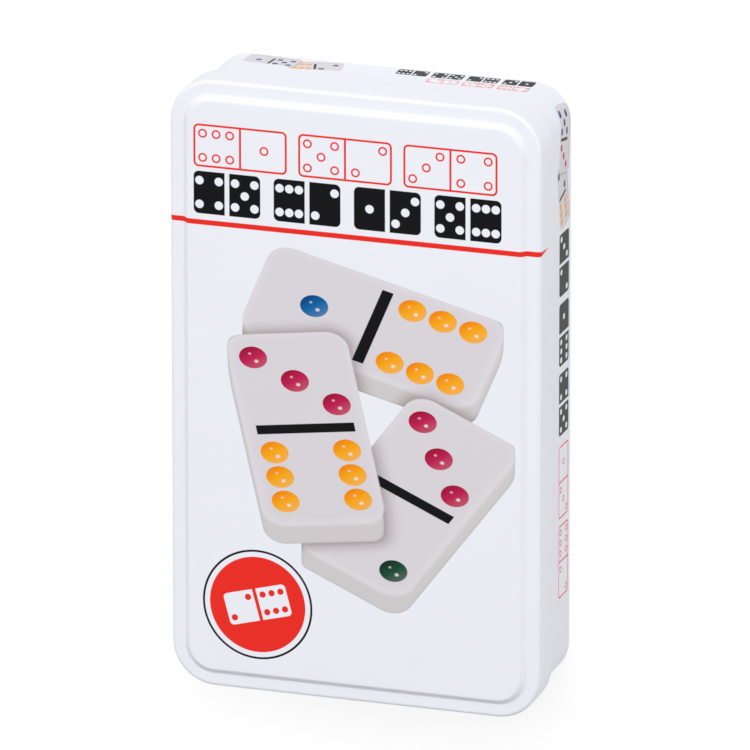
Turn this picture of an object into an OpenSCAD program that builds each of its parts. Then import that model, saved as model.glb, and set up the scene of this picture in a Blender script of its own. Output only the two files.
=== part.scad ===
// Storage tin for a double-six domino set: a slip lid over a straight-walled base, a formed tray
// with two long wells, and twenty-eight tiles lying in two layers.
// The origin is the centre of the underside, on the surface that the tin stands on.
// X runs across the tin, Y along it and Z up through the lid. All sizes are in millimetres.

/* [Tiles] */
// Length of a tile
tile_length = 48; // [40:0.5:56]
// Width of a tile
tile_width = 24; // [22:0.5:28]
// Thickness of a tile
tile_thickness = 12; // [9:0.5:14]
// Radius of a tile's corners, seen from above
tile_corner = 3.2; // [2:0.1:4]
// Radius round a tile's faces
tile_edge = 1.4; // [0.5:0.1:1.8]
// Diameter of a pip
pip_diameter = 5; // [3:0.1:5.2]
// Depth of a pip's bowl
pip_depth = 0.8; // [0.4:0.05:1]
// Distance between neighbouring pips along a tile
pip_pitch = 6.2; // [5.4:0.1:6.8]
// Distance across a tile from a side pip to its middle
pip_spread = 7.2; // [6:0.1:7.6]
// Length of the bar cut across the middle of a face
bar_length = 19.5; // [14:0.5:20]
// Width of the bar
bar_width = 1.9; // [0.8:0.1:2.4]
// Depth of the bar
bar_depth = 0.5; // [0.3:0.05:0.8]

/* [Tray] */
// Thickness of the formed sheet
tray_sheet = 0.6; // [0.4:0.05:0.8]
// Slope of the wells' walls from upright, in degrees
draft = 3; // [1:0.5:5]
// Room left round the tiles in a well
tile_gap = 0.3; // [0.2:0.05:0.6]
// Room left between two tiles of a row
row_gap = 0.15; // [0.1:0.05:0.3]
// Width of the divider at the wells' floor
divider = 6; // [5:0.25:9]
// Width of the deck beside the wells
side_deck = 3.4; // [3.2:0.1:6]
// Width of the deck beyond the wells' ends
end_deck = 7.55; // [7.2:0.05:12]
// Height by which the top tiles stand above the deck, to be gripped
grip_height = 6; // [3:0.5:9]
// Plan radius of the tray's corners
tray_corner = 10.7; // [9:0.1:13]
// Radius between the deck and the tray's skirt
deck_radius = 1.5; // [1:0.1:2]
// Plan radius of a well's corners
well_corner = 2; // [1.5:0.1:3]
// Radius round a well's floor
floor_radius = 1; // [0.6:0.1:1.2]
// Radius where a well's wall turns out into the deck
lip_radius = 1.1; // [0.9:0.1:1.4]
// Width of the channel that stiffens and carries each well's floor
channel_width = 16; // [12:0.5:20]
// Depth of the channel
channel_depth = 7.3; // [5:0.1:9]
// Distance from a well's end to its channel
channel_inset = 12; // [9:0.5:20]
// Width of the finger scoop at each end of a well
scoop_width = 20; // [16:0.5:24]
// Reach of a finger scoop beyond the well's end wall, at its floor
scoop_reach = 4; // [3:0.1:4]
// Plan radius of a scoop's corners
scoop_corner = 4; // [3:0.5:6]
// Height of a scoop's floor above the well's floor
scoop_rise = 3; // [2:0.5:6]
// Width of a finger notch across the divider, at its floor
notch_width = 18; // [12:0.5:18]
// Depth of a finger notch
notch_depth = 9; // [7:0.5:10]
// Radius at the foot of a notch's walls
notch_foot = 4; // [2:0.5:4]

/* [Tinplate] */
// Thickness of the printed tinplate
sheet = 0.3; // [0.25:0.05:0.4]
// Diameter of the rolled hems
hem = 1.8; // [1.6:0.1:2.4]

/* [Base] */
// Room left between the tray and the base's wall
tray_gap = 0.3; // [0.2:0.05:0.6]
// Radius between the underside and the wall
bottom_radius = 3; // [2:0.1:4]
// Height by which the middle of the underside is pressed up
foot_height = 0.8; // [0.7:0.05:1.2]
// Slope of the step between the standing ring and the middle, in degrees
foot_slope = 70; // [55:1:80]
// Radius of that step's bends, at mid thickness
foot_bend = 0.45; // [0.35:0.05:0.5]
// Width of the flat ring that the tin stands on
foot_width = 4.5; // [3:0.1:5]
// Height of the base's rim above the top tiles
rim_rise = 4.4; // [3:0.1:12]

/* [Lid] */
// Room left between the lid's hem and the base's wall
slip_gap = 0.3; // [0.2:0.05:0.5]
// Room left between the base's rim and the underside of the lid
seat_gap = 0.3; // [0.2:0.05:0.5]
// Depth of the lid's skirt
skirt_depth = 12; // [8:0.5:20]
// Radius between the lid's top and its skirt
lid_radius = 1.2; // [0.9:0.1:1.8]
// Width of the flat border round the raised panel
border = 4; // [2.5:0.1:7]
// Height of the raised panel
panel_height = 1.5; // [1.1:0.1:2]
// Slope of the step round the panel, in degrees
panel_slope = 45; // [40:1:60]
// Radius of that step's bends, at mid thickness
panel_bend = 0.9; // [0.5:0.05:1.1]

/* [Hidden] */
highest = 6;                // Pips in the fullest half of a tile
rows = 7;                   // Tiles along a well
layers = 2;                 // Tiles in a stack
bends = 6;                  // Flats that a bend of a quarter turn is drawn with
cut = 1;                    // Overshoot of every cut past the face it opens
hem_turn = 290;             // Angle that a hem is rolled through

TILES = [for (low = [0:highest]) for (high = [low:highest]) [low, high]];
function tile_name(t) = str("tile_", t[0], "_", t[1]);

// Wells, tray, base and lid, each made to go round the last
row_pitch = tile_width + row_gap;
well_width = tile_length + 2 * tile_gap;
well_length = rows * row_pitch - row_gap + 2 * tile_gap;
well_x = (divider + well_width) / 2;
tray_width = 2 * well_width + divider + 2 * side_deck;
tray_length = well_length + 2 * end_deck;
base_width = tray_width + 2 * (tray_gap + sheet);
base_length = tray_length + 2 * (tray_gap + sheet);
base_corner = tray_corner + tray_gap + sheet;
lid_width = base_width + 2 * (slip_gap + hem);
lid_length = base_length + 2 * (slip_gap + hem);
lid_corner = base_corner + slip_gap + hem;

// Levels, from the ground up
panel_top = foot_height + sheet;
channel_floor = panel_top + tray_sheet;
well_floor = channel_floor + channel_depth;
tiles_top = well_floor + layers * tile_thickness;
deck = tiles_top - grip_height;
skirt_bottom = bottom_radius + 1.5;
base_top = tiles_top + rim_rise;
lid_rim = base_top + seat_gap + sheet;
lid_bottom = lid_rim - skirt_depth;

// Where the pips of each value go: steps along half a tile, and across it
PIPS = [
    [],
    [[0, 0]],
    [[-1, -1], [1, 1]],
    [[-1, -1], [0, 0], [1, 1]],
    [[-1, -1], [-1, 1], [1, -1], [1, 1]],
    [[-1, -1], [-1, 1], [0, 0], [1, -1], [1, 1]],
    [[-1, -1], [-1, 1], [0, -1], [0, 1], [1, -1], [1, 1]]
];

// ---- Profiles: x runs outwards from the axis of the plan's corners, y is height ----

function arc(centre, r, from, to) =
    let (n = max(2, ceil(abs(to - from) / 90 * bends)))
    [for (i = [0:n]) let (a = from + (to - from) * i / n) centre + r * [cos(a), sin(a)]];

// A pressed step that goes down by h as it goes out from the point p, with two bends of radius r
function step_run(h, slope, r) =
    let (slant = (h - 2 * r * (1 - cos(slope))) / sin(slope))
    2 * r * sin(slope) + slant * cos(slope);
function step_down(p, h, slope, r) = concat(
    arc(p - [0, r], r, 90, 90 - slope),
    arc(p + [step_run(h, slope, r), r - h], r, 270 - slope, 270));

function unit(v) = v / norm(v);
function left(v) = [-v[1], v[0]];
// The offset from point i of a path to the face of a sheet of thickness 2 * half
function miter(path, i, half) =
    let (
        last = len(path) - 1,
        before = left(unit(path[max(i, 1)] - path[max(i, 1) - 1])),
        after = left(unit(path[min(i, last - 1) + 1] - path[min(i, last - 1)])),
        mid = unit(before + after))
    mid * half / (mid * before);
// The outline of a sheet of thickness t whose middle follows the path
function band(path, t) = concat(
    [for (i = [0:len(path) - 1]) path[i] + miter(path, i, t / 2)],
    [for (i = [len(path) - 1:-1:0]) path[i] - miter(path, i, t / 2)]);

// A hollow's half section: floor, rounded foot, sloping wall, and a lip turned out at the top.
// The corner axis is at r from the wall's foot, whose radius is bend, and g grows every side.
function hollow(r, bend, floor, top, g) =
    let (
        foot = [r - bend, floor + bend],
        rise = top - lip_radius - foot[1],
        out = (bend + lip_radius + rise * sin(draft)) / cos(draft),
        lip = foot + [out, rise])
    concat(
        [[0, floor - g]],
        arc(foot, bend + g, -90, -draft),
        arc(lip, lip_radius - g, 180 - draft, 90),
        [[lip[0], top + cut], [0, top + cut]]);

// ---- Solids on a rounded rectangle ----

// Carries the profile round a rounded rectangle w by l, whose corners have the radius r
module carried_round(w, l, r) {
    for (side = [0:3]) {
        across = side % 2 == 0 ? w : l;
        along = side % 2 == 0 ? l : w;
        rotate(90 * side) translate([across / 2 - r, along / 2 - r, 0]) {
            rotate_extrude(angle = 90, $fn = 64) children();
            rotate([90, 0, 0]) linear_extrude(along - 2 * r) children();
        }
    }
}

// Fills the middle that carried_round leaves open, between two heights
module middle(w, l, r, low, high) {
    translate([r - w / 2, r - l / 2, low]) cube([w - 2 * r, l - 2 * r, high - low]);
}

// ---- The lid: pressed panel, flat border, skirt and a hem rolled inwards ----

module tin_lid() {
    half = sheet / 2;
    top = lid_rim + panel_height;
    panel_edge = lid_corner - border - step_run(panel_height, panel_slope, panel_bend);
    path = concat(
        [[0, top - half]],
        step_down([panel_edge, top - half], panel_height, panel_slope, panel_bend),
        arc([lid_corner - lid_radius, lid_rim - lid_radius], lid_radius - half, 90, 0),
        arc([lid_corner - hem / 2, lid_bottom + hem / 2], hem / 2 - half, 0, -hem_turn));
    color("#eceef6") {
        carried_round(lid_width, lid_length, lid_corner) polygon(band(path, sheet));
        middle(lid_width, lid_length, lid_corner, top - sheet, top);
    }
}

// ---- The base: pressed-up underside, standing ring, wall and a hem rolled inwards ----

module tin_base() {
    half = sheet / 2;
    ring_edge = base_corner - bottom_radius - foot_width;
    step_start = ring_edge - step_run(foot_height, foot_slope, foot_bend);
    path = concat(
        [[0, foot_height + half]],
        step_down([step_start, foot_height + half], foot_height, foot_slope, foot_bend),
        arc([base_corner - bottom_radius, bottom_radius], bottom_radius - half, -90, 0),
        arc([base_corner - hem / 2, base_top - hem / 2], hem / 2 - half, 0, hem_turn));
    color("#dfe2ea") {
        carried_round(base_width, base_length, base_corner) polygon(band(path, sheet));
        middle(base_width, base_length, base_corner, foot_height, panel_top);
    }
}

// ---- The tray: one sheet drawn over wells, channels, scoops and notches ----

// The body of the tray, thinned by g on every side, from a height up to the deck
module tray_block(g, from) {
    edge = [tray_corner - deck_radius, deck - deck_radius];
    section = concat(
        [[0, from], [tray_corner - g, from]],
        arc(edge, deck_radius - g, 0, 90),
        [[0, deck - g]]);
    carried_round(tray_width, tray_length, tray_corner) polygon(section);
    middle(tray_width, tray_length, tray_corner, from, deck - g);
}

// A hollow with its own plan, w by l at the foot of its walls
module pocket(w, l, r, floor, top, g) {
    carried_round(w, l, r) polygon(hollow(r, floor_radius, floor, top, g));
    middle(w, l, r, floor - g, top + cut);
}

// A finger notch across the divider, with its section along Y
module notch(g) {
    section = hollow(notch_width / 2, notch_foot, deck - notch_depth, deck, g);
    rotate([90, 0, 90]) linear_extrude(divider + well_width, center = true) {
        polygon(section);
        mirror([1, 0]) polygon(section);
    }
}

module channels(g) {
    for (side = [-1, 1]) translate([side * well_x, 0, 0])
        pocket(channel_width, well_length - 2 * channel_inset, channel_width / 4,
            channel_floor, well_floor, g);
}

// Everything that is sunk into the tray, grown by g on every side
module sunk(g) {
    scoop_y = (well_length - scoop_width) / 2 + scoop_reach;
    channels(g);
    for (side = [-1, 1]) translate([side * well_x, 0, 0]) {
        pocket(well_width, well_length, well_corner, well_floor, deck, g);
        for (end = [-1, 1]) translate([0, end * scoop_y, 0])
            pocket(scoop_width, scoop_width, scoop_corner, well_floor + scoop_rise, deck, g);
    }
    for (row = [-2:2:2]) translate([0, row * row_pitch, 0]) notch(g);
}

module tray() {
    color("#33363c") difference() {
        union() {
            tray_block(0, skirt_bottom);
            intersection() {
                channels(tray_sheet);
                middle(tray_width, tray_length, tray_corner, panel_top - cut, well_floor);
            }
        }
        sunk(0);
        difference() {
            tray_block(tray_sheet, panel_top - cut);
            sunk(tray_sheet);
        }
    }
}

// ---- The tiles ----

// The pips of one half, sunk into the face at z = 0
module pips(value) {
    bowl = (pip_diameter * pip_diameter / 4 + pip_depth * pip_depth) / (2 * pip_depth);
    for (p = PIPS[value])
        translate([p[0] * pip_pitch, p[1] * pip_spread, bowl - pip_depth])
            sphere(bowl, $fn = 48);
}

module bar() {
    reach = (bar_length - bar_width) / 2;
    translate([0, 0, -bar_depth]) linear_extrude(bar_depth + cut) {
        square([bar_width, 2 * reach], center = true);
        for (end = [-1, 1]) translate([0, end * reach]) circle(d = bar_width, $fn = 24);
    }
}

// One tile, face up, centred on its own middle and standing on z = 0
module tile_body(low, high) {
    inner = tile_corner - tile_edge;
    section = concat(
        [[0, 0]],
        arc([inner, tile_edge], tile_edge, -90, 0),
        arc([inner, tile_thickness - tile_edge], tile_edge, 0, 90),
        [[0, tile_thickness]]);
    difference() {
        union() {
            carried_round(tile_length, tile_width, tile_corner) polygon(section);
            middle(tile_length, tile_width, tile_corner, 0, tile_thickness);
        }
        translate([0, 0, tile_thickness]) {
            translate([-tile_length / 4, 0, 0]) pips(low);
            translate([tile_length / 4, 0, 0]) rotate(180) pips(high);
            bar();
        }
    }
}

// A tile in its place: the first half of the list lies in the lower layer
module tile(index) {
    per_layer = len(TILES) / layers;
    layer = floor(index / per_layer);
    place = index % per_layer;
    column = place % 2;
    row = floor(place / 2);
    color("#f4f3ee")
        translate([
            (2 * column - 1) * well_x,
            ((rows - 1) / 2 - row) * row_pitch,
            well_floor + layer * tile_thickness])
            tile_body(TILES[index][0], TILES[index][1]);
}

tin_lid();
tin_base();
tray();
for (i = [0:len(TILES) - 1]) tile(i);
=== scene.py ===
"""A storage tin for a double-six domino set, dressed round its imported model.

Lengths are in metres and mm turns millimetres into them. The patterns printed on the tin are worked
out in millimetres from the pieces' own Object coordinates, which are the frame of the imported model.
"""
import math

import bpy
import numpy as np
from mathutils import Matrix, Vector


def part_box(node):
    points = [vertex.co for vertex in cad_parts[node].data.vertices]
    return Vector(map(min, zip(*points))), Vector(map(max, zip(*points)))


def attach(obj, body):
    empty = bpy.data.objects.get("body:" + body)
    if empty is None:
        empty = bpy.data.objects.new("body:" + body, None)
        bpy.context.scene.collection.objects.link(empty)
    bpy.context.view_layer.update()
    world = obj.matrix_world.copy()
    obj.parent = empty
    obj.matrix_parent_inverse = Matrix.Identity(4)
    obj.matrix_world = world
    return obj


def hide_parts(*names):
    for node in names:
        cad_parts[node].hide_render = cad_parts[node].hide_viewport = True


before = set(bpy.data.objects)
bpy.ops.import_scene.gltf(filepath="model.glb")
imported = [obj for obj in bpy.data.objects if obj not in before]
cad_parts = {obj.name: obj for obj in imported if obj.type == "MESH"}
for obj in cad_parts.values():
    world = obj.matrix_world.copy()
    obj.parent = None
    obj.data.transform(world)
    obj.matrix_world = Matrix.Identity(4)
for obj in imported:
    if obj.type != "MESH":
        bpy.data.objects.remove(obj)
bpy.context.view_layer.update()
mm = 0.001


# ---- The base of the tin ----
# Drawn in one piece from thin tinplate. The middle of its underside is pressed up inside the ring
# that the tin stands on, and its rim is rolled inwards. It is lacquered white and printed outside.

SHEET = 0.3 * mm             # thickness of the tinplate
HEM = 1.8 * mm               # diameter of the rolled hems
HEM_TURN = 290               # degrees that a hem is rolled through
BASE_CORNER = 11.3 * mm      # plan radius of the base's corners
BOTTOM_RADIUS = 3 * mm       # between the underside and the wall
FOOT_HEIGHT = 0.8 * mm       # rise of the underside's middle
FOOT_WIDTH = 4.5 * mm        # width of the standing ring
FOOT_SLOPE = 70              # slope of the step inside the ring, in degrees
FOOT_BEND = 0.45 * mm        # radius of that step's bends
FOOT_CROWN = 0.15 * mm       # how far the underside arches up further in its middle

FLAT_EDGE = 0.3 * mm         # from a bend to the first row of points on the flat beside it
FLAT_EDGE_SHARE = 0.3        # the most of a short flat that this may take
WAVE_ACROSS = 17 * mm        # a radian of the slow wave in a wide plate, across the tin
WAVE_ALONG = 26 * mm         # and along it
CORNER_STEPS = 20            # columns of faces round a corner
# Where the columns stand along a side, and the rings of a plate between its centre and its edge.
SIDE_STOPS = np.array([0.006, 0.03, 0.12, 0.25, 0.38, 0.5, 0.62, 0.75, 0.88, 0.97, 0.994])
PLATE_STOPS = np.array([0.08, 0.2, 0.34, 0.48, 0.62, 0.75, 0.86, 0.94, 0.985])


def bend(x, z, radius, start, end, steps):
    """An arc of the sheet's middle, in rows of place and left-hand normal: (x, z) plus the radius
    times (cos a, sin a), with a going from start to end in degrees."""
    a = np.radians(np.linspace(start, end, steps + 1))
    spoke = np.stack([np.cos(a), np.sin(a)], 1)
    return np.hstack([np.array([x, z]) + radius * spoke, spoke * np.sign(start - end)])


def step_run(drop, slope, radius):
    """How far out a pressed step reaches: two bends, and a slant at that slope in degrees."""
    a = math.radians(slope)
    slant = (drop - 2 * radius * (1 - math.cos(a))) / math.sin(a)
    return 2 * radius * math.sin(a) + slant * math.cos(a)


def step_down(end, z, drop, slope, radius):
    """The two bends of a pressed step that starts at the height z and goes down out to x = end."""
    start = end - step_run(drop, slope, radius)
    return [bend(start, z - radius, radius, 90, 90 - slope, steps=6),
            bend(end, z - drop + radius, radius, 270 - slope, 270, steps=6)]


def joined(bends):
    """Bends with straight flats between them. A flat has a row of points close to both of its ends,
    so that its faces are shaded flat, and two rows at about its thirds."""
    rows = [bends[0]]
    for here, following in zip(bends, bends[1:]):
        start, end = here[-1], following[0]
        share = min(FLAT_EDGE / np.linalg.norm((end - start)[:2]), FLAT_EDGE_SHARE)
        stops = np.array([share, 0.35, 0.65, 1 - share])[:, None]
        rows += [start + (end - start) * stops, following]
    return np.vstack(rows)


def walk(width, length, corner):
    """Once round a rounded rectangle, anticlockwise. On a corner the foot stays on the corner's axis
    while the way out turns by 90 degrees, and along a side the foot slides to the next axis."""
    signs = np.array([[1, 1], [-1, 1], [-1, -1], [1, -1]])
    axis = signs * (width / 2 - corner, length / 2 - corner)
    slide = np.concatenate([np.zeros(CORNER_STEPS + 1), SIDE_STOPS])[:, None]
    feet = axis[:, None] + (np.roll(axis, -1, 0) - axis)[:, None] * slide
    turn = np.concatenate([np.linspace(0, 1, CORNER_STEPS + 1), np.ones(len(SIDE_STOPS))])
    angle = (np.arange(4)[:, None] + turn) * math.pi / 2
    return feet.reshape(-1, 2), np.stack([np.cos(angle), np.sin(angle)], 2).reshape(-1, 2)


def skin(name, grid, marks):
    """A closed mesh from a grid of rows of rings. The first and the last ring close in a point each,
    and marks gives each row's share of bare metal."""
    rows, columns = grid.shape[:2]
    here = 1 + np.arange(rows * columns).reshape(rows, columns)
    beside = np.roll(here, -1, 1)
    quads = np.stack([here[:-1], here[1:], beside[1:], beside[:-1]], 2).reshape(-1, 4)
    last = rows * columns + 1
    first_fan = np.stack([np.zeros(columns, int), here[0], beside[0]], 1)
    last_fan = np.stack([np.full(columns, last), beside[-1], here[-1]], 1)
    points = np.vstack([grid[0].mean(0), grid.reshape(-1, 3), grid[-1].mean(0)])
    mesh = bpy.data.meshes.new(name)
    mesh.from_pydata(points.tolist(), [], quads.tolist() + first_fan.tolist() + last_fan.tolist())
    bare = mesh.attributes.new("bare", "FLOAT", "POINT")
    bare.data.foreach_set(
        "value", np.concatenate([marks[:1], np.repeat(marks, columns), marks[-1:]]))
    mesh.shade_smooth()
    piece = bpy.data.objects.new(name, mesh)
    bpy.context.scene.collection.objects.link(piece)
    return piece


def plate(edge, stops, sag):
    """The rings of a plate inside its edge, which is a ring of points. Each is s times the edge, for
    a stop s, and sinks below it by the sag times (1 - s^2)^2 times a slow wave, which is
    0.7 + 0.3 sin(x / WAVE_ACROSS + 0.8) cos(y / WAVE_ALONG)."""
    rings = edge * np.array([1, 1, 0]) * stops[:, None, None]
    wave = 0.7 + 0.3 * np.sin(rings[..., 0] / WAVE_ACROSS + 0.8) * np.cos(rings[..., 1] / WAVE_ALONG)
    sunk = sag * (1 - stops[:, None] ** 2) ** 2 * wave
    return rings + np.dstack([np.zeros_like(sunk), np.zeros_like(sunk), edge[:, 2] - sunk])


def pressing(name, profile, width, length, corner, sag, bare_side):
    """The sheet carried round a rounded rectangle, at foot + x times the way out. The left side of
    the profile is taken out to its cut edge and the right side back, and a plate closes each side
    from the profile's first row inwards."""
    feet, way_out = walk(width, length, corner)
    left = profile[:, :2] + profile[:, 2:] * SHEET / 2
    right = profile[:, :2] - profile[:, 2:] * SHEET / 2
    loop = np.vstack([left, right[::-1]])
    plan = feet + loop[:, :1, None] * way_out
    sides = np.dstack([plan, np.broadcast_to(loop[:, 1:], plan.shape[:2])])
    grid = np.vstack([plate(sides[0], PLATE_STOPS, sag), sides,
                      plate(sides[-1], PLATE_STOPS[::-1], sag)])
    marks = np.repeat([1.0, 0.0] if bare_side == "left" else [0.0, 1.0], len(grid) // 2)
    return skin(name, grid, marks)


class Ink:
    """An output of a material's node. Arithmetic on it adds Math nodes, and add() other nodes."""

    def __init__(self, tree, socket=None):
        self.tree, self.socket = tree, socket

    def add(self, kind, settings=None, sockets=None, output=0):
        """Adds a node of that kind, with its settings first and then its sockets, by name or
        number. A ramp's stops are pairs of a place and a colour."""
        made = self.tree.nodes.new("ShaderNode" + kind)
        for name, value in (settings or {}).items():
            if name == "stops":
                ramp = made.color_ramp.elements
                ramp.remove(ramp[1])
                ramp[0].position, ramp[0].color = value[0]
                for place, colour in value[1:]:
                    ramp.new(place).color = colour
            elif name == "interpolation":
                made.color_ramp.interpolation = value
            else:
                setattr(made, name, value)
        for name, value in (sockets or {}).items():
            if isinstance(value, Ink):
                self.tree.links.new(value.socket, made.inputs[name])
            else:
                made.inputs[name].default_value = value
        return Ink(self.tree, made.outputs[output])

    def maths(self, operation, *others, clamp=False):
        """A Math node on this value and up to two others."""
        sockets = dict(enumerate((self,) + others))
        return self.add("Math", {"operation": operation, "use_clamp": clamp}, sockets)

    def vector(self, operation, *others):
        """A Vector Math node on this vector and others, or on this vector and a number for SCALE."""
        sockets = dict(enumerate((self,) + others))
        if operation == "SCALE":
            sockets = {0: self, "Scale": others[0]}
        gives_number = operation in ("LENGTH", "DISTANCE", "DOT_PRODUCT")
        return self.add("VectorMath", {"operation": operation}, sockets, 1 if gives_number else 0)

    def part(self, axis):
        """This vector's x, y or z, for an axis of 0, 1 or 2."""
        return self.add("SeparateXYZ", None, {0: self}, axis)

    def blend(self, at_none, at_full):
        """The first colour where this mask is 0, and the second where it is 1."""
        return self.add("Mix", {"data_type": "RGBA"}, {0: self, 6: at_none, 7: at_full}, 2)

    def under(self, mask, ink):
        """This colour, with the other laid over it where the mask is 1."""
        return mask.blend(self, ink)

    def tinted(self, mask, tint):
        """This colour, multiplied by the tint where the mask is 1."""
        return self.add("Mix", {"data_type": "RGBA", "blend_type": "MULTIPLY"},
                        {0: mask, 6: self, 7: tint}, 2)

    def inside(self, soft):
        """1 where this distance is below zero, and 0 where it is above, over an edge that wide."""
        return self.maths("MULTIPLY_ADD", -1 / soft, 0.5, clamp=True)

    def larger(self, other):
        """The larger of this value and the other."""
        return self.maths("MAXIMUM", other)

    def __add__(self, other):
        return self.maths("ADD", other)

    __radd__ = __add__

    def __sub__(self, other):
        return self.maths("SUBTRACT", other)

    def __rsub__(self, other):
        return self.maths("MULTIPLY_ADD", -1, other)

    def __mul__(self, other):
        return self.maths("MULTIPLY", other)

    __rmul__ = __mul__

    def __truediv__(self, other):
        return self.maths("DIVIDE", other)

    def __mod__(self, other):
        return self.maths("MODULO", other)

    def __abs__(self):
        return self.maths("ABSOLUTE")


def colour(code):
    """A colour written as six hexadecimal digits, made linear."""
    shares = [int(code[i:i + 2], 16) / 255 for i in (0, 2, 4)]
    linear = [s / 12.92 if s <= 0.04045 else ((s + 0.055) / 1.055) ** 2.4 for s in shares]
    return (*linear, 1.0)


def new_material(name, **constants):
    """A material, its shader node with the constants set, and an Ink to start other nodes from."""
    material = bpy.data.materials.new(name)
    material.use_nodes = True
    shader = material.node_tree.nodes["Principled BSDF"]
    for socket, value in constants.items():
        shader.inputs[socket.replace("_", " ")].default_value = value
    return material, shader, Ink(material.node_tree)


def wire(shader, **values):
    """Links each Ink to the shader's socket of that name."""
    for socket, value in values.items():
        value.tree.links.new(value.socket, shader.inputs[socket.replace("_", " ")])


def millimetres(start):
    """Object coordinates in millimetres."""
    return start.add("TexCoord", output="Object").vector("SCALE", 1 / mm)


WHITE_LACQUER = colour("eef0f7")
PRINT_RED = colour("ec2f26")
PRINT_BLACK = colour("0c0c10")
BARE_TIN = colour("c9cacb")
PRINT_EDGE = 0.16            # softness of a printed edge, in millimetres, as all the prints' sizes
LACQUER_CLOUD = 0.035        # how much the lacquer's shade varies
GLOSS = 0.08                 # share of clear gloss over the lacquer


def tinplate(name, print_on):
    """Printed tinplate: white lacquer and inks under clear gloss, and bright bare tin inside. The
    lacquer has the faint orange peel of a roller coat, and the tin the grain of the rolling mill."""
    material, shader, start = new_material(
        name, IOR=1.5, Coat_IOR=1.4, Coat_Roughness=0.15, Specular_IOR_Level=0.06)
    place = millimetres(start)
    bare = start.add("Attribute", {"attribute_name": "bare"}, output="Fac")
    cloud = start.add("TexNoise", None, {"Vector": place, "Scale": 0.045, "Detail": 2.0})
    lacquer = start.add("Mix", {"data_type": "RGBA", "blend_type": "MULTIPLY"},
                        {0: 1.0, 6: WHITE_LACQUER, 7: (cloud - 0.5) * LACQUER_CLOUD + 1}, 2)
    grain = start.add("TexNoise", None, {
        "Vector": place.vector("MULTIPLY", (9.0, 0.25, 3.0)), "Scale": 1.0, "Detail": 4.0})
    peel = start.add("TexNoise", None, {"Vector": place, "Scale": 1.1, "Detail": 1.0})
    wire(shader,
         Base_Color=print_on(place, lacquer).under(bare, BARE_TIN),
         Metallic=bare,
         Roughness=0.3 + cloud * 0.05 + bare * (grain * 0.25 - 0.1),
         Coat_Weight=GLOSS - bare * GLOSS,
         Normal=start.add("Bump", None, {
             "Strength": 0.1, "Distance": 0.03 * mm, "Height": peel + bare * grain * 2}))
    return material


def slab(place, half_x, half_y, radius):
    """Distance from a rounded rectangle on the origin, rounded by the radius: how far |place| lies
    beyond the rectangle of the corners' centres, less the radius."""
    beyond = place.vector("ABSOLUTE").vector("SUBTRACT", (half_x - radius, half_y - radius, 0))
    return beyond.vector("MAXIMUM", (0, 0, 0)).vector("LENGTH") - radius


def flat(along, across):
    """Two distances as a vector on the sheet."""
    return along.add("CombineXYZ", None, {0: along, 1: across})


def pips(along, across, cell, step_along, step_across, value):
    """Where the nearest place for a pip is, as an offset from its centre, and whether the value has
    a pip there. A half tile has places (i, j) with i and j from -1 to 1. Its middle shows for an
    odd value, the corners with i j = 1 from 2, those with i j = -1 from 4, and i = 0 at 6."""
    local = along - (along / cell).maths("FLOOR") * cell - cell / 2
    i = (local / step_along).maths("ROUND").larger(-1).maths("MINIMUM", 1)
    j = (across / step_across).maths("ROUND").larger(-1).maths("MINIMUM", 1)
    offset = flat(local - i * step_along, across - j * step_across)
    least = 3 - i * j + (1 - abs(i)) * 3 + (1 - abs(j)) * 9
    middle = 1 - abs(i).larger(abs(j))
    return offset, least.maths("LESS_THAN", value + 0.5).larger(middle * (value % 2))


PIP_INKS = [colour("f4f3f0"), colour("0a66a2"), colour("1b4934"), colour("bd1f52"),
            colour("6f4327"), colour("243a86"), colour("f9a91a")]     # for the values 0 to 6
TILE_HALF = (24, 12)         # half length and half width of a tile
PIP_STEP_ALONG = 6.2         # from pip to pip along a tile
PIP_STEP_ACROSS = 7.2        # from the middle of a tile to a side pip

# The tiles in the pictures, in millimetres at the size of the real ones.
PICTURE_TILT = 0.77          # height of a circle in the picture, as a share of its width
PICTURE_SIDE = 3.8           # height of a tile's side, straight down the picture
PICTURE_CORNER = 4.2         # plan radius of its corners
PICTURE_PIP = 2.75           # radius of its pips
PICTURE_BAR = (1.14, 9.75)   # half width and half length of its bar
PRINTED_BAR_CORNER = 0.2     # radius of the bar's corners on the tin, whatever the picture's scale
CUT_SOFTNESS = 1.5           # over which its upright cuts run into its round ends
FACE_ROUNDING = 5 / 3        # over which its face turns towards the edge
FACE_EDGE = 0.5              # softness of that edge
SIDE_ROUNDING = 0.9          # over which its side turns away below the edge
SIDE_SOFTNESS = 0.4          # how softly that ends, as a share of it
RIM_WIDTH = 0.625            # over which its side darkens towards the outline
SHADOW_REACH = 4             # of the soft shadow round it
TOWARDS_LIGHT = (-0.6, 0.8)  # the way to the light, to the left and up the picture
BOWL_SHADE = 0.7             # how much a pip's ink deepens on the wall of its bowl next to the light
BOWL_SHEEN = 0.08            # and how much paler it is on the wall across from it
GLINTS = ((0.4, 0.06), (-0.4, 0.12))    # their places towards the light and radii, in pip radii
GLINT_SOFTNESS = 0.16        # softness of a glint's edge, in pip radii
GLINT_STRENGTH = 0.85
TILE_FACE = colour("dad6dc")
TILE_BEND = colour("dfdbe1")
TILE_SIDE = colour("d1cdce")
TILE_RIM = colour("c6c3c5")
TILE_GLINT = colour("f6f5f8")
TILE_SHADOW = colour("c9bfbe")


def on_turned_tile(x, y, angle):
    """A direction in the picture as a tile sees it that is turned by the angle: (x cos a + y sin a,
    y cos a - x sin a)."""
    return np.array([x * math.cos(angle) + y * math.sin(angle),
                     y * math.cos(angle) - x * math.sin(angle), 0])


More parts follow.
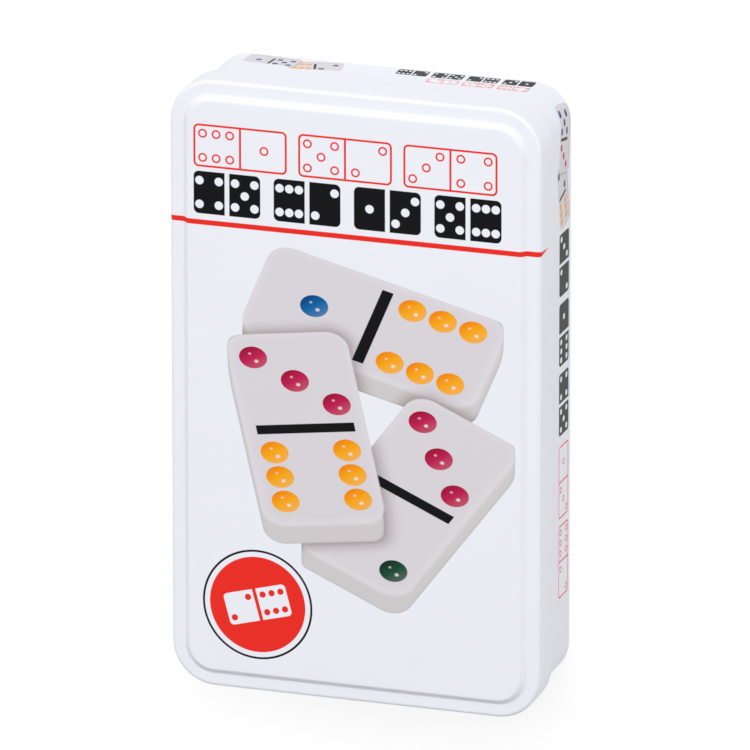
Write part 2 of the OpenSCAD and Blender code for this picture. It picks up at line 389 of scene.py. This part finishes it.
def pictured_outline(spot, angle):
    """Distance from a pictured tile's outline, which is its face swept straight down by its height:
    a rounded rectangle round the whole sweep, trimmed by a pair of upright cuts."""
    down = on_turned_tile(0, -PICTURE_SIDE / PICTURE_TILT, angle)
    right = on_turned_tile(1, 0, angle)
    body = spot.vector("SUBTRACT", tuple(down / 2))
    ends = slab(body, *(TILE_HALF + abs(down[:2]) / 2), PICTURE_CORNER)
    reach = abs(right[:2]) @ (np.array(TILE_HALF) - PICTURE_CORNER) + PICTURE_CORNER
    cuts = abs(body.vector("DOT_PRODUCT", tuple(right))) - reach
    return ends.maths("SMOOTH_MAX", cuts, CUT_SOFTNESS)


def pictured_enamel(offset, angle, ink):
    """A pip's enamel at an offset from its centre: its ink, which is deeper in the shade of the
    bowl's wall and paler across from it, with two glints in line with the light."""
    light = on_turned_tile(*TOWARDS_LIGHT, angle)
    share = offset.vector("DOT_PRODUCT", tuple(light / PICTURE_PIP))
    enamel = ink.tinted(share.maths("MULTIPLY", BOWL_SHADE, clamp=True), ink)
    enamel = enamel.under(share.maths("MULTIPLY", -BOWL_SHEEN, clamp=True), TILE_GLINT)
    for place, radius in GLINTS:
        centre = tuple(light * PICTURE_PIP * place)
        beyond = offset.vector("DISTANCE", centre) - PICTURE_PIP * radius
        glint = beyond.inside(PICTURE_PIP * GLINT_SOFTNESS) * GLINT_STRENGTH
        enamel = enamel.under(glint, TILE_GLINT)
    return enamel


def picture(paper, place, scale, tiles):
    """Tiles lying one over another as a camera sees them, painted on the paper: (x, y, turn, values)
    for each, the lowest first. They are worked out at the real tiles' size, and the scale turns
    that into the picture's. A tile's soft shadow falls on the tiles below it."""
    edge = PRINT_EDGE / scale
    shrink = np.array([1, 1 / PICTURE_TILT, 0]) / scale
    upright = place.vector("MULTIPLY", tuple(shrink))
    painted, covered = paper, None
    for x, y, turn, values in tiles:
        angle = math.radians(turn)
        spot = place.add("Mapping", {"vector_type": "TEXTURE"}, {
            "Vector": upright, "Location": tuple(shrink * (x, y, 0)), "Rotation": (0, 0, angle)})
        outline = pictured_outline(spot, angle)
        drawn = outline.inside(edge)
        if covered is None:
            covered = drawn
        else:
            shadow = (1 - outline / SHADOW_REACH).larger(0)
            painted = painted.tinted(shadow * shadow * covered, TILE_SHADOW)
            covered = drawn.larger(covered)

        face = slab(spot, *TILE_HALF, PICTURE_CORNER)
        below = (face / SIDE_ROUNDING).maths("SMOOTH_MIN", 1, SIDE_SOFTNESS).larger(0)
        rim = outline.maths("MULTIPLY_ADD", 1 / RIM_WIDTH, 1, clamp=True)
        side = below.blend(TILE_BEND, TILE_SIDE).under(rim, TILE_RIM)
        top = face.maths("MULTIPLY", -1 / FACE_ROUNDING, clamp=True).blend(TILE_BEND, TILE_FACE)
        painted = painted.under(drawn, side).under(face.inside(FACE_EDGE), top)

        along, across = spot.part(0), spot.part(1)
        second_half = along.maths("GREATER_THAN", 0)
        value = second_half * (values[1] - values[0]) + values[0]
        offset, shows = pips(along + TILE_HALF[0], across, TILE_HALF[0],
                             PIP_STEP_ALONG, PIP_STEP_ACROSS, value)
        ink = second_half.blend(PIP_INKS[values[0]], PIP_INKS[values[1]])
        pip = (offset.vector("LENGTH") - PICTURE_PIP).inside(edge) * shows * face.inside(edge)
        bar = slab(spot, *PICTURE_BAR, PRINTED_BAR_CORNER / scale).inside(edge)
        painted = painted.under(pip, pictured_enamel(offset, angle, ink)).under(bar, PRINT_BLACK)
    return painted


# The tiles in the printed rows.
ROW_STEP_ALONG = 0.145       # from pip to pip, as a share of a tile's length
ROW_STEP_ACROSS = 0.56       # from the middle to a side pip, as a share of the row's half height
ROW_CORNER = 0.25            # radius of a tile's corners, as a share of the same
ROW_BAR = 0.11               # half the width of a solid tile's middle line, likewise
ROW_PIP = 0.2                # radius of a solid tile's pips, likewise
ROW_OPEN_PIP = 0.17          # radius of the pips of a tile drawn in outline, likewise
ROW_RING = 0.4               # half the width of such a pip's line, as a share of the outline's


def tile_row(paper, place, start, tile, gap, half_height, values, ink, line=0.0):
    """A row of tiles of that length printed in one ink, with the middle of its left end at the
    start. The tiles are solid, with pips and middle lines in the colour of the paper, or drawn in
    outline where a line's width is given. There is a value for each half tile."""
    along, across = place.part(0) - start[0], place.part(1) - start[1]
    period, cell, cells = tile + gap, (tile + gap) / 2, len(values)
    local = along - (along / period).maths("FLOOR") * period - cell
    value = along.add("ValToRGB", {
        "interpolation": "CONSTANT",
        "stops": [(k / cells, (v / 6,) * 3 + (1,)) for k, v in enumerate(values)]},
        {0: along / (cell * cells)})
    half_line = line / 2 if line else half_height * ROW_BAR
    to_middle_of_half = local.maths("SIGN") * (gap / 4 - half_line / 2)
    offset, shows = pips(along + to_middle_of_half, across, cell, tile * ROW_STEP_ALONG,
                         half_height * ROW_STEP_ACROSS, (value * 6).maths("ROUND"))
    pip = offset.vector("LENGTH") - half_height * (ROW_OPEN_PIP if line else ROW_PIP)
    shape = slab(flat(local, across), tile / 2, half_height, half_height * ROW_CORNER)
    middle_line = (abs(local) - half_line).inside(PRINT_EDGE)
    if line:
        ring = (abs(pip) - line * ROW_RING).inside(PRINT_EDGE) * shows
        outline = (abs(shape + line / 2) - line / 2).inside(PRINT_EDGE)
        drawn = outline.larger(middle_line).larger(ring)
    else:
        drawn = 1 - middle_line.larger(pip.inside(PRINT_EDGE) * shows)
    in_row = (abs(along - cell * cells / 2) - cell * cells / 2).inside(PRINT_EDGE)
    return paper.under(drawn * shape.inside(PRINT_EDGE) * in_row, ink)


LONG_WALL_SCALE = 0.42       # of the tiles in the picture on a long wall,
SHORT_WALL_SCALE = 0.34      # and on a short one
FAR_AWAY = 1000              # height given to the other walls, where nothing is printed


def base_print(place, paper):
    """Rows of tiles and a small picture, in one line along a long wall and in two along a short one.
    The opposite walls are printed alike, turned by half a turn."""
    x, y, z = (place.part(axis) for axis in range(3))
    on_short = (abs(y) - abs(x)).maths("GREATER_THAN", (base_length - base_width) / 2 / mm)
    long_wall = flat(y * x.maths("SIGN"), z + on_short * FAR_AWAY)
    short_wall = flat(0 - x * y.maths("SIGN"), z + (1 - on_short) * FAR_AWAY)
    printed = tile_row(paper, long_wall, start=(-66, 8.7), tile=22.8, gap=2.2, half_height=4.6,
                       values=[2, 6, 3, 1], ink=PRINT_RED, line=0.5)
    printed = tile_row(printed, long_wall, start=(-15, 8.7), tile=19.4, gap=2.4, half_height=4.6,
                       values=[5, 4, 6, 1, 2, 3], ink=PRINT_BLACK)
    printed = picture(printed, long_wall, LONG_WALL_SCALE, [
        (61, 10.4, 14, (6, 2)), (78, 9, -8, (3, 5))])
    printed = tile_row(printed, short_wall, start=(-46, 6), tile=9.6, gap=1.4, half_height=2.4,
                       values=[1, 3, 6, 2, 5, 4, 2, 6], ink=PRINT_BLACK)
    printed = tile_row(printed, short_wall, start=(-46, 11.4), tile=9.6, gap=1.4, half_height=1.9,
                       values=[4, 6, 5, 3, 1, 2], ink=PRINT_RED, line=0.3)
    return picture(printed, short_wall, SHORT_WALL_SCALE, [
        (22, 9.2, 12, (2, 6)), (36, 8, -6, (5, 1))])


base_low, base_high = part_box("tin_base")
base_width, base_length = base_high.x - base_low.x, base_high.y - base_low.y
ring_edge = BASE_CORNER - BOTTOM_RADIUS - FOOT_WIDTH
base_profile = joined([
    *step_down(ring_edge, FOOT_HEIGHT + SHEET / 2, FOOT_HEIGHT, FOOT_SLOPE, FOOT_BEND),
    bend(BASE_CORNER - BOTTOM_RADIUS, BOTTOM_RADIUS, BOTTOM_RADIUS - SHEET / 2, -90, 0, steps=12),
    bend(BASE_CORNER - HEM / 2, base_high.z - HEM / 2, HEM / 2 - SHEET / 2, 0, HEM_TURN, steps=24)])
base_shell = pressing("base_shell", base_profile, base_width, base_length, BASE_CORNER,
                      -FOOT_CROWN, bare_side="left")
base_shell.data.materials.append(tinplate("printed_tinplate_base", base_print))
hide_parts("tin_base")
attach(base_shell, "base")


# ---- The tray ----
# One sheet of charcoal polystyrene, vacuum formed over a mould: two long wells on stiffening
# channels, finger scoops at their ends and notches across the divider. It lies loose in the base.

def formed_sheet(name):
    """Satin polystyrene: a fine leathery grain from the mould, and a little clouding."""
    material, shader, start = new_material(name, IOR=1.55, Specular_IOR_Level=0.5)
    place = millimetres(start)
    cloud = start.add("TexNoise", None, {"Vector": place, "Scale": 0.06, "Detail": 3.0})
    grain = start.add("TexNoise", None, {"Vector": place, "Scale": 2.2, "Detail": 3.0})
    charcoal = cloud.blend(colour("2b2d31"), colour("3b3d42"))
    wire(shader, Base_Color=charcoal, Roughness=0.36 + grain * 0.16,
         Normal=start.add("Bump", None, {"Strength": 0.35, "Distance": 0.05 * mm, "Height": grain}))
    return material


def dress(node, material):
    """Gives a carried-over node its material."""
    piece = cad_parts[node]
    piece.data.materials.clear()
    piece.data.materials.append(material)


dress("tray", formed_sheet("formed_tray"))


# ---- The tiles ----
# Twenty-eight tiles of white resin, each pressed with the pips of its two values and a bar between
# them. The bowls are filled with glossy enamel, in one colour for each value, and the bar with black.

PIP_RADIUS = 2.5             # in millimetres, as the other sizes of the tiles
BAR_HALF = (0.95, 9.75)      # half width and half length of the bar
BOWL_FLOOR = 1.2             # depth below the face down to which the enamel reaches
ENAMEL_EDGE = 0.08           # softness of the enamel's edge
DEPTH_EDGE = 0.05            # softness of its lower end


def tile_resin(node):
    """White resin with a faint pearl cloud. Enamel covers what lies less than BOWL_FLOOR below the
    face and inside a pip's circle or the bar."""
    low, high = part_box(node)
    middle, length, top = (low + high) / 2 / mm, (high.x - low.x) / mm, high.z / mm
    first, second = (int(value) for value in node.split("_")[1:])
    material, shader, start = new_material(
        node + "_resin", IOR=1.5, Coat_IOR=1.5, Coat_Roughness=0.08, Specular_IOR_Level=0.5)
    place = millimetres(start)
    cloud = start.add("TexNoise", None, {"Vector": place, "Scale": 0.12, "Detail": 3.0})
    resin = cloud.blend(colour("eceae6"), colour("f8f7f4"))
    along, across = place.part(0) - middle.x, place.part(1) - middle.y
    near_face = (top - BOWL_FLOOR - place.part(2)).inside(DEPTH_EDGE)
    second_half = along.maths("GREATER_THAN", 0)
    offset, shows = pips(along + length / 2, across, length / 2, PIP_STEP_ALONG, PIP_STEP_ACROSS,
                         second_half * (second - first) + first)
    pip = (offset.vector("LENGTH") - PIP_RADIUS).inside(ENAMEL_EDGE) * shows * near_face
    bar = slab(flat(along, across), *BAR_HALF, BAR_HALF[0]).inside(ENAMEL_EDGE) * near_face
    enamel = second_half.blend(PIP_INKS[first], PIP_INKS[second])
    wire(shader,
         Base_Color=resin.under(pip, enamel).under(bar, PRINT_BLACK),
         Roughness=0.3 + cloud * 0.06 - pip * 0.15,
         Coat_Weight=0.3 + pip * 0.7)
    return material


for tile in sorted(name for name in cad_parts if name.startswith("tile_")):
    dress(tile, tile_resin(tile))


# ---- The lid ----
# Pressed from the same tinplate with a raised panel inside a flat border. Its skirt slips over the
# base and ends in a hem rolled inwards. It was printed flat, so its print runs on over the edge.

LID_CORNER = 13.4 * mm       # plan radius of the lid's corners
LID_RADIUS = 1.2 * mm        # between the border and the skirt
BORDER = 4 * mm              # width of the flat border
PANEL_HEIGHT = 1.5 * mm      # rise of the panel above the border
PANEL_SLOPE = 45             # slope of the step between them, in degrees
PANEL_BEND = 0.9 * mm        # radius of that step's bends
PANEL_SAG = 0.12 * mm        # how far the panel sinks in its middle

STRIPE_Y = 51.2              # the red line across the lid, in millimetres as the rest of its print
STRIPE_HALF = 0.8            # half its width
STRIPE_END = 30.6            # height at which it runs out to a point on the skirt
STRIPE_TAPER = 7.4           # and the height over which it does
BADGE = (-30.2, -67.1)       # centre of the round badge
BADGE_RADIUS = 15
BADGE_RING = 16.9            # radius of the thin ring round it
BADGE_RING_HALF = 0.33       # half the width of that ring
BADGE_TURN = 15              # turn of the tile on it, in degrees
PICTURE_SCALE = 1.6          # of the tiles in the picture


def lid_print(place, paper):
    """Two rows of tiles over a red line, a picture of three tiles, and a round badge with a tile."""
    y, z = place.part(1), place.part(2)
    sheet = place.vector("MULTIPLY", (1, 1, 0))
    printed = tile_row(paper, sheet, start=(-51.6, 75.1), tile=29.2, gap=3.5, half_height=6.7,
                       values=[6, 1, 5, 2, 3, 4], ink=PRINT_RED, line=0.65)
    printed = tile_row(printed, sheet, start=(-51.9, 60.5), tile=20.8, gap=4.2, half_height=6.6,
                       values=[4, 5, 6, 2, 1, 3, 5, 6], ink=PRINT_BLACK)
    half_width = (z - STRIPE_END).maths("MULTIPLY", 1 / STRIPE_TAPER, clamp=True) * STRIPE_HALF
    printed = printed.under((abs(y - STRIPE_Y) - half_width).inside(PRINT_EDGE), PRINT_RED)
    printed = picture(printed, place, PICTURE_SCALE, [
        (6, 24, -18, (1, 6)), (17, -28, 60, (2, 3)), (-15, -10, 100, (6, 3))])

    from_badge = sheet.vector("DISTANCE", (*BADGE, 0))
    ring = abs(from_badge - BADGE_RING) - BADGE_RING_HALF
    printed = printed.under((from_badge - BADGE_RADIUS).inside(PRINT_EDGE), PRINT_RED)
    printed = printed.under(ring.inside(PRINT_EDGE), PRINT_BLACK)
    on_badge = place.add("Mapping", {"vector_type": "TEXTURE"}, {
        "Vector": sheet, "Location": (*BADGE, 0), "Rotation": (0, 0, math.radians(BADGE_TURN))})
    return tile_row(printed, on_badge, start=(-10.5, 0), tile=20, gap=1, half_height=5,
                    values=[2, 6], ink=WHITE_LACQUER)


lid_low, lid_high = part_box("tin_lid")
lid_width, lid_length = lid_high.x - lid_low.x, lid_high.y - lid_low.y
lid_rim = lid_high.z - PANEL_HEIGHT
lid_profile = joined([
    *step_down(LID_CORNER - BORDER, lid_high.z - SHEET / 2, PANEL_HEIGHT, PANEL_SLOPE, PANEL_BEND),
    bend(LID_CORNER - LID_RADIUS, lid_rim - LID_RADIUS, LID_RADIUS - SHEET / 2, 90, 0, steps=10),
    bend(LID_CORNER - HEM / 2, lid_low.z + HEM / 2, HEM / 2 - SHEET / 2, 0, -HEM_TURN, steps=24)])
lid_shell = pressing("lid_shell", lid_profile, lid_width, lid_length, LID_CORNER,
                     PANEL_SAG, bare_side="right")
lid_shell.data.materials.append(tinplate("printed_tinplate_lid", lid_print))
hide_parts("tin_lid")
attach(lid_shell, "lid")


# ---- The studio ----
# A wide pale table and soft square lamps in a white room. The camera stands far off with a long
# lens, at the photograph's angle.

CAMERA_AZIMUTH = 47.006      # the way from the tin to the camera, in degrees from the x axis,
CAMERA_ELEVATION = 64.083    # and in degrees above the table
CAMERA_ROLL = 225.995        # the camera's turn about its own line of sight, in degrees
CAMERA_PLACE = np.array([5.918, 7.463, 4743.7]) * mm    # right, up and back from the lid's middle
LENS = 768                   # focal length in millimetres
SENSOR = 36                  # width of the sensor, in millimetres
NEAREST, FARTHEST = 0.5, 60  # how near and how far the camera sees, in metres
LAMP_SIZE = 2.4              # side of a lamp, and its distance from the tin, in metres
LAMP_DISTANCE = 3.2

# The rows of the camera's axes are the ways to its right, up and back.
middle_of_lid = np.array([0, 0, lid_rim])
camera_axes = np.transpose(Matrix.Rotation(math.radians(90 + CAMERA_AZIMUTH), 3, "Z")
                           @ Matrix.Rotation(math.radians(90 - CAMERA_ELEVATION), 3, "X")
                           @ Matrix.Rotation(math.radians(CAMERA_ROLL), 3, "Z"))


def aim(thing, place, axes):
    """Puts a camera or a lamp at a place, with its own x, y and z axes along the rows of axes."""
    matrix = np.eye(4)
    matrix[:3, :3] = np.transpose(axes)
    matrix[:3, 3] = place
    thing.matrix_world = Matrix(matrix.tolist())


camera = bpy.data.objects.new("camera", bpy.data.cameras.new("camera"))
camera.data.lens, camera.data.sensor_width = LENS, SENSOR
camera.data.clip_start, camera.data.clip_end = NEAREST, FARTHEST
bpy.context.scene.collection.objects.link(camera)
aim(camera, middle_of_lid + CAMERA_PLACE @ camera_axes, camera_axes)
bpy.context.scene.camera = camera


def lamp(name, towards, watts):
    """A soft square lamp, in a direction from the tin that is given along the camera's axes."""
    data = bpy.data.lights.new(name, "AREA")
    data.size, data.energy = LAMP_SIZE, watts
    thing = bpy.data.objects.new(name, data)
    bpy.context.scene.collection.objects.link(thing)
    back = np.array(towards, float) @ camera_axes
    back /= np.linalg.norm(back)
    side = np.cross([1, 0, 0], back)
    side /= np.linalg.norm(side)
    aim(thing, middle_of_lid + back * LAMP_DISTANCE, [side, np.cross(back, side), back])


lamp("front_lamp", towards=(0, 0.18, 1), watts=61)
lamp("left_lamp", towards=(-1, 0.3, 0.5), watts=30)
lamp("right_lamp", towards=(0.9, 0.1, 0.8), watts=18)
lamp("upper_lamp", towards=(-0.55, 0.75, 1), watts=8)

AMBIENT = 0.31               # light of the white room on every surface
TABLE_REACH = 12             # metres from the tin to the table's edge
TABLE_GREY = (0.8, 0.8, 0.8, 1)     # the table as it sends light back at the tin
TABLE_SEEN = (0.3, 0.3, 0.3, 1)     # the table as it is seen, which takes the tin's soft shadow
TABLE_LIFT = (0.76, 0.76, 0.76, 1)  # and its own light, which makes it white where it is lit


def seen_directly(start):
    """1 for rays from the camera, and for what gloss and glass show."""
    camera_ray, glossy_ray, glass_ray = (
        start.add("LightPath", output=name)
        for name in ("Is Camera Ray", "Is Glossy Ray", "Is Transmission Ray"))
    return camera_ray.larger(glossy_ray).larger(glass_ray)


def pale_table():
    """A dull grey table, which is lifted to white where it is seen."""
    material, shader, start = new_material(
        "pale_table", Roughness=0.9, Specular_IOR_Level=0.0, Emission_Strength=1.0)
    seen = seen_directly(start)
    wire(shader,
         Base_Color=seen.blend(TABLE_GREY, TABLE_SEEN),
         Emission_Color=seen.blend((0, 0, 0, 1), TABLE_LIFT))
    return material


world = bpy.data.worlds.new("white_room")
world.use_nodes = True
room = Ink(world.node_tree)
background = world.node_tree.nodes["Background"]
background.inputs["Color"].default_value = (1, 1, 1, 1)
wire(background, Strength=seen_directly(room) * (1 - AMBIENT) + AMBIENT)
bpy.context.scene.world = world

table_mesh = bpy.data.meshes.new("table")
table_mesh.from_pydata(
    [(x * TABLE_REACH, y * TABLE_REACH, 0) for x, y in ((-1, -1), (1, -1), (1, 1), (-1, 1))],
    [], [(0, 1, 2, 3)])
table_mesh.materials.append(pale_table())
table = bpy.data.objects.new("table", table_mesh)
bpy.context.scene.collection.objects.link(table)

bpy.context.scene.view_settings.view_transform = "Standard"
